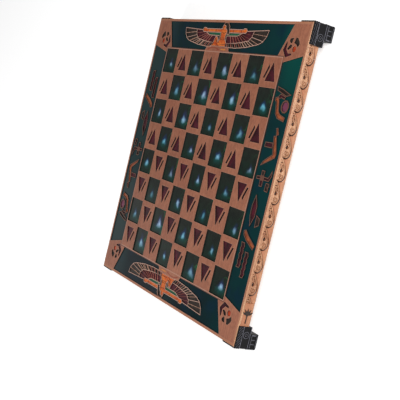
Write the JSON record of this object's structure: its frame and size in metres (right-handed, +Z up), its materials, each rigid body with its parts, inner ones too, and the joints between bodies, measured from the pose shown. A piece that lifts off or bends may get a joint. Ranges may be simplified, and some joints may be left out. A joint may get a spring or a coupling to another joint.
{
  "type": "chess board",
  "caption": "Square wooden chess board with recessed resin inlays, carved edge rails, and cast caps and feet at its corners.",
  "frame": {"origin": "middle of the board, on the surface that its four feet stand on", "axes": "+Z up out of the playing face, +Y to the far side, where the head of the far winged figure points, +X to the right"},
  "size_m": [0.5196, 0.5196, 0.042],
  "materials": {
    "face_wood": "satin oiled wood, milled",
    "rail_wood": "satin oiled wood, carved",
    "base_wood": "satin oiled wood",
    "teal_resin": "glossy cast resin",
    "dark_resin": "glossy cast resin with a pearl glow",
    "burgundy_resin": "satin cast resin",
    "amber_resin": "satin cast resin",
    "black_resin": "satin cast resin",
    "cast_black": "black casting with a dry-brushed silver grey relief",
    "pad_rubber": "matte rubber"
  },
  "bodies": {
    "root": {"amber_motifs_left": "amber_resin", "amber_motifs_right": "amber_resin", "base_panel": "base_wood", "beetle_crescents": "burgundy_resin", "beetle_discs": "amber_resin", "beetle_wing_cases": "black_resin", "border_panel_far": "teal_resin", "border_panel_left": "teal_resin", "border_panel_near": "teal_resin", "border_panel_right": "teal_resin", "corner_cap_far_left": "cast_black", "corner_cap_far_right": "cast_black", "corner_cap_near_left": "cast_black", "corner_cap_near_right": "cast_black", "dark_motifs_left": "black_resin", "dark_motifs_right": "black_resin", "dark_tiles_row_1": "dark_resin", "dark_tiles_row_2": "dark_resin", "dark_tiles_row_3": "dark_resin", "dark_tiles_row_4": "dark_resin", "dark_tiles_row_5": "dark_resin", "dark_tiles_row_6": "dark_resin", "dark_tiles_row_7": "dark_resin", "dark_tiles_row_8": "dark_resin", "edge_rail_far": "rail_wood", "edge_rail_left": "rail_wood", "edge_rail_near": "rail_wood", "edge_rail_right": "rail_wood", "foot_far_left": "cast_black", "foot_far_right": "cast_black", "foot_near_left": "cast_black", "foot_near_right": "cast_black", "foot_pads": "pad_rubber", "headdress_far": "black_resin", "headdress_near": "black_resin", "large_pyramids_far": "burgundy_resin", "large_pyramids_near": "burgundy_resin", "playing_panel": "face_wood", "plum_motifs_left": "burgundy_resin", "plum_motifs_right": "burgundy_resin", "rail_blossoms": "black_resin", "small_pyramids_far": "burgundy_resin", "small_pyramids_near": "burgundy_resin", "wing_coverts_far": "burgundy_resin", "wing_coverts_near": "burgundy_resin", "wing_feathers_far": "black_resin", "wing_feathers_near": "black_resin", "winged_figure_far": "amber_resin", "winged_figure_near": "amber_resin"}
  },
  "joints": []
}
